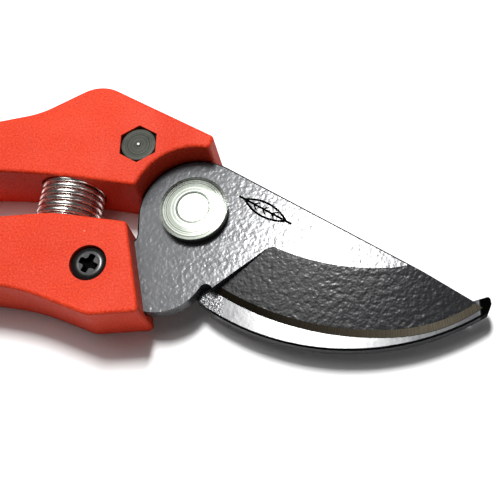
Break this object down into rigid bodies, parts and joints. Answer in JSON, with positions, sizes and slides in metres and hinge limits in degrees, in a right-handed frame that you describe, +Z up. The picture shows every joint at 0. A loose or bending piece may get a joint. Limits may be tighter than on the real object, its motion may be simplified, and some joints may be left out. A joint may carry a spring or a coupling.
{
  "type": "pruning shears",
  "caption": "Bypass pruning shears with moulded grips, curved cutting blade over a hooked counter blade, coil return spring and rear catch, closed and lying flat.",
  "frame": {"origin": "middle of the tool's bounding box in plan, on the underside of the grips, which is the surface the closed tool lies on", "axes": "+X along the tool from the grips to the blade tips, +Z up through the thickness of the tool along the pivot axis, +Y to the side of the grip that carries the hook blade"},
  "size_m": [0.2164, 0.073, 0.019],
  "materials": {
    "handle_plastic": "fine-grained matte, orange-red through the whole moulding",
    "blade_lacquer": "glossy dark grey lacquer with a fine hammered skin; the sharpened band is bare steel",
    "hook_lacquer": "glossy dark grey lacquer with a fine hammered skin",
    "turned_zinc": "bright zinc plate with fine turned rings",
    "dull_zinc": "dull grey-green plate with turned rings on the face",
    "black_oxide": "black oxide, slightly oily",
    "dark_steel": "dark plain steel",
    "spring_steel": "bright drawn wire",
    "catch_zinc": "zinc-plated sheet steel with broken edges"
  },
  "bodies": {
    "upper_side": {"upper_handle": "handle_plastic", "hook_blade": "hook_lacquer", "pivot_bolt": "turned_zinc", "pivot_head_washer": "dark_steel", "pivot_lock_washer": "dark_steel", "pivot_nut": "dark_steel", "upper_sleeve_nut": "dull_zinc", "upper_screw": "black_oxide", "keeper_pin": "spring_steel", "return_spring": "spring_steel"},
    "lower_side": {"lower_handle": "handle_plastic", "cutting_blade": "blade_lacquer", "lower_sleeve_nut": "dull_zinc", "lower_screw": "black_oxide", "catch_rivet": "spring_steel", "catch_washers": "dark_steel"},
    "catch": {"catch_hook": "catch_zinc"}
  },
  "joints": [
    {"name": "blade_pivot", "type": "hinge", "parent": "upper_side", "child": "lower_side", "pos_m": [0.03625, 0.0009, 0.0082], "axis": [0, 0, 1], "range_deg": [0, 29], "stiffness_Nm_per_rad": 1.6, "springref_deg": 42.97, "deforming": ["return_spring"]},
    {"name": "catch_swing", "type": "hinge", "parent": "lower_side", "child": "catch", "pos_m": [-0.09375, -0.0101, 0.0095], "axis": [0, 0, 1], "range_deg": [0, 90]}
  ]
}
